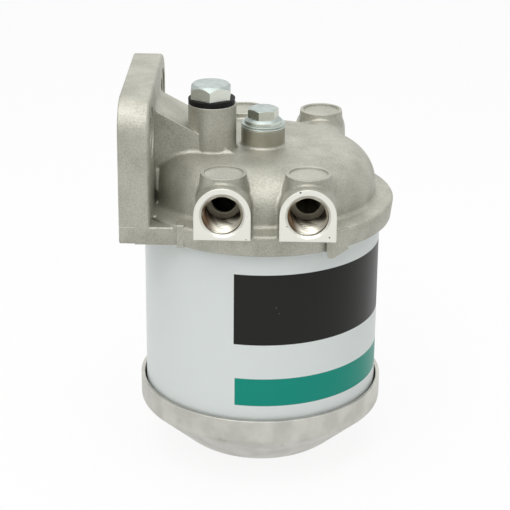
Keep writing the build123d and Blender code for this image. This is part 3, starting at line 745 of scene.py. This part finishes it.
def makeHexagon(screw, top):
    # the flats end in arcs, where a cone has cut the corners back
    shape = bmesh.new()
    x, y = screw["axis"]
    foot, arc, rim = [], [], []
    for turn in roundAngles(screw["around"]):
        reach = screw["flats"] / 2 / math.cos(turn % (math.pi / 3) - math.pi / 6)
        way = Vector((math.cos(turn + screw["corner"]), math.sin(turn + screw["corner"]), 0))
        level = top - screw["crownSlope"] * (reach - screw["crownRadius"])
        foot.append(shape.verts.new(Vector((x, y, screw["cut"])) + way * reach))
        arc.append(shape.verts.new(Vector((x, y, level)) + way * reach))
        rim.append(shape.verts.new(Vector((x, y, top)) + way * screw["crownRadius"]))
    joinRings(shape, [foot, arc, rim])
    shape.faces.new(foot)
    shape.faces.new(rim)
    return shape


def cutHead(source, cut, way):
    shape = bmesh.new()
    shape.from_mesh(source)
    bmesh.ops.remove_doubles(shape, verts=shape.verts, dist=1e-6)
    everything = shape.verts[:] + shape.edges[:] + shape.faces[:]
    bmesh.ops.bisect_plane(
        shape, geom=everything, plane_co=(0, 0, cut), plane_no=(0, 0, way), clear_outer=True)
    bmesh.ops.holes_fill(shape, edges=[edge for edge in shape.edges if edge.is_boundary])
    return shape


def makeScrew(node, screw):
    way = 1 if screw["tip"] > screw["cut"] else -1
    start = (*screw["axis"], screw["cut"] - way * stubOverlap)
    mesh = makeThread(screw["piece"] + "Shank", screwThread, [(start, (0, 0, way))], zincPlated, {
        "Radius": screw["radius"], "Depth": screw["depth"], "Pitch": screw["pitch"],
        "Length": abs(screw["tip"] - start[2]), "Plain": screw["plain"], "Tip": screw["chamfer"],
    })
    pointOutwards(mesh)
    if "crownSlope" in screw:
        shape = makeHexagon(screw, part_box(node)[1][2])
    else:
        shape = cutHead(nodes[node].data, screw["cut"], way)
    bmesh.ops.recalc_face_normals(shape, faces=shape.faces)
    shape.from_mesh(mesh)
    shape.to_mesh(mesh)
    shape.free()
    if "custom_normal" in mesh.attributes:      # those of the uncut mesh
        mesh.attributes.remove(mesh.attributes["custom_normal"])
    smoothFaces(mesh, threads["sharp"])
    piece = addPiece(screw["piece"], mesh, zincPlated, screw["body"])
    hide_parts(node)


for node, screw in screws.items():
    makeScrew(node, screw)
print("screws threaded")


# rubber: a lumpy squeezed washer under the vent plug, and plain rings

rubber = {
    "colour": tone(12, 12, 12),
    "worn": tone(30, 30, 28),
    "dust": (0.0013, 3),
    "grit": (0.0005, 3),
    "gritHeight": 0.00006,
    "axis": (-0.01855, -0.0048),
    "bottom": 0.1347,
    "height": 0.0021,
    "bore": 0.0054,
    "radius": 0.0083,
    "lip": 0.0003,                  # the top edge is squeezed out that much further
    "lumps": 0.00022,
    "lumpSize": 2.6,
    "sagSize": 1.7,
    "top": 0.6,                     # a bulge above that is on the top edge, which is sunk and uneven
    "topSunk": 0.00008,
    "topLumps": 0.00012,
    "around": 96,
    "sharp": 50,
    "profile": [                    # share of the height, share of the way from the bore, bulge
        (0.0, 0.0, 0.0), (0.0, 0.5, 0.0), (0.0, 0.93, 0.0), (0.04, 1.0, 0.1), (0.18, 1.0, 0.35),
        (0.36, 1.0, 0.55), (0.55, 1.0, 0.45), (0.72, 1.0, 0.5), (0.86, 1.0, 1.0), (0.96, 0.99, 0.95),
        (1.0, 0.92, 0.7), (1.0, 0.5, 0.0), (1.0, 0.0, 0.0),
    ],
}


def makeBlackRubber():
    material, net = startMaterial("blackRubber")
    dust = net.grain(*rubber["dust"])
    finishMaterial(net, {
        "Base Color": net.mix(dust.rise(0.5, 0.75) * 0.8, rubber["colour"], rubber["worn"]),
        "Roughness": 0.5 + dust * 0.2,
        "Specular IOR Level": 0.22,
        "Normal": net.bump(net.grain(*rubber["grit"]), rubber["gritHeight"], 0.6),
    })
    return material


blackRubber = makeBlackRubber()
dress(["head_seal_ring", "base_seal_ring", "inner_seal_ring", "centre_bolt_o_ring"], blackRubber)


def makeWasher():
    shape = bmesh.new()
    rows = []
    for high, out, bulge in rubber["profile"]:
        row = []
        for angle in roundAngles(rubber["around"]):
            way = Vector((math.cos(angle), math.sin(angle), 0))
            lump = noise.noise(way * rubber["lumpSize"] + Vector((0, 0, high * 3.5)))
            sag = noise.noise(way * rubber["sagSize"] + Vector((5, 3, high)))
            radius = rubber["bore"] + (rubber["radius"] - rubber["bore"]) * out
            radius += bulge * (rubber["lip"] * (0.7 + 0.6 * sag) + rubber["lumps"] * lump)
            level = rubber["bottom"] + high * rubber["height"]
            if bulge > rubber["top"]:
                level += rubber["topLumps"] * lump - rubber["topSunk"]
            middle = Vector((*rubber["axis"], level))
            row.append(shape.verts.new(middle + radius * way))
        rows.append(row)
    joinRings(shape, rows + rows[:1])
    return finishMesh(shape, "ventWasher", rubber["sharp"])


ventWasher = addPiece("ventWasher", makeWasher(), blackRubber, "vent_washer")
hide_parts("vent_plug_washer")
print("rubber made")


# the pieces inside the can, and the copper washer of the drain plug

def makePlain(name, dark, light, metallic, rough, size):
    material, net = startMaterial(name)
    cloud = net.grain(size, 3)
    finishMaterial(net, {
        "Base Color": net.mix(cloud.rise(*cloudy), dark, light),
        "Metallic": metallic,
        "Roughness": rough + cloud * 0.12,
        "Normal": net.bump(net.grain(size / 6, 2), 0.00003, 0.4),
    })
    return material


inner = [                           # material, colours, metallic, roughness, size of its clouds, nodes
    ("softCopper", tone(170, 104, 72), tone(198, 128, 92), 1.0, 0.3, 0.004, ["drain_plug_washer"]),
    ("sheetSteel", tone(150, 152, 154), tone(184, 186, 187), 1.0, 0.3, 0.006,
     ["element_top_plate", "element_bottom_plate", "element_centre_tube"]),
    ("filterPaper", tone(196, 164, 112), tone(214, 184, 134), 0.0, 0.8, 0.003, ["filter_paper"]),
]
for *looks, names in inner:
    dress(names, makePlain(*looks))
print("inner pieces dressed")


# camera, light and floor

view = {
    "place": (0.00964, -0.59840, 0.31203),
    "pitch": 0.37868,
    "turn": 0.02027,
    "roll": 0.01015,
    "lens": 121.224,
    "sensor": 36,
    "clipStart": 0.01,
    "halfPixel": 0.5 / 510,
}


def makeCamera():
    data = bpy.data.cameras.new("photoCamera")
    data.sensor_width = view["sensor"]
    data.lens = view["lens"]
    data.shift_y = view["halfPixel"]
    data.clip_start = view["clipStart"]
    camera = bpy.data.objects.new("photoCamera", data)
    bpy.context.scene.collection.objects.link(camera)
    turn, pitch, roll = view["turn"], view["pitch"], view["roll"]
    level = Vector((-math.sin(turn), math.cos(turn), 0))
    forward = level * math.cos(pitch) - Vector((0, 0, math.sin(pitch)))
    right = Vector((math.cos(turn), math.sin(turn), 0))
    up = right.cross(forward)
    rolledRight = math.cos(roll) * right + math.sin(roll) * up
    rolledUp = -math.sin(roll) * right + math.cos(roll) * up
    turned = Matrix((rolledRight, rolledUp, -forward)).transposed().to_4x4()
    camera.matrix_world = Matrix.Translation(view["place"]) @ turned
    bpy.context.scene.camera = camera


lamps = [                           # name, place, aim, size, watts
    ("topLamp", (-0.05, -0.2, 1.0), (0, 0, 0.08), 1.0, 5.4),
    ("frontLamp", (-0.35, -0.9, 0.95), (0, 0, 0.08), 0.6, 2.8),
    ("backLamp", (0.1, 1.0, 0.8), (0, 0, 0.08), 0.8, 0.8),
]


def makeLamps():
    for name, place, aim, size, watts in lamps:
        data = bpy.data.lights.new(name, "AREA")
        data.shape = "SQUARE"
        data.size = size
        data.energy = watts
        lamp = bpy.data.objects.new(name, data)
        bpy.context.scene.collection.objects.link(lamp)
        lamp.location = place
        lamp.rotation_euler = (Vector(aim) - Vector(place)).to_track_quat("-Z", "Y").to_euler()


room = {
    "world": 0.5,
    "white": (1, 1, 1, 1),
    "floorSize": 3.0,
    "floor": tone(250, 250, 250),
    "floorGlow": 0.88,
}


def whiteSeen(net):                 # rays that see the white room: straight, mirrored or through glass
    camera = net.node("ShaderNodeLightPath", {}, {}, "Is Camera Ray")
    outputs = camera.socket.node.outputs
    return camera.most(Wire(net, outputs["Is Glossy Ray"])).most(Wire(net, outputs["Is Transmission Ray"]))


def makeRoom():
    world = bpy.data.worlds.new("studio")
    world.use_nodes = True
    world.node_tree.nodes.clear()
    bpy.context.scene.world = world
    net = Net(world.node_tree)
    soft = net.node("ShaderNodeBackground", {}, {"Color": room["white"], "Strength": room["world"]})
    white = net.node("ShaderNodeBackground", {}, {"Color": room["white"], "Strength": 1.0})
    both = net.node("ShaderNodeMixShader", {}, {0: whiteSeen(net), 1: soft, 2: white})
    net.node("ShaderNodeOutputWorld", {}, {"Surface": both})

    half = room["floorSize"] / 2
    mesh = bpy.data.meshes.new("floor")
    corners = [(-half, -half, 0), (half, -half, 0), (half, half, 0), (-half, half, 0)]
    mesh.from_pydata(corners, [], [(0, 1, 2, 3)])
    floor = bpy.data.objects.new("floor", mesh)
    bpy.context.scene.collection.objects.link(floor)
    material, net = startMaterial("paleFloor")
    matte = net.node("ShaderNodeBsdfDiffuse", {}, {"Color": room["floor"]})
    glow = net.node("ShaderNodeEmission", {}, {"Color": room["white"], "Strength": 1.0})
    both = net.node("ShaderNodeMixShader", {}, {0: whiteSeen(net) * room["floorGlow"], 1: matte, 2: glow})
    net.node("ShaderNodeOutputMaterial", {}, {"Surface": both})
    mesh.materials.append(material)


makeCamera()
makeLamps()
makeRoom()
bpy.context.scene.view_settings.view_transform = "Standard"
print("camera, lamps and floor placed")
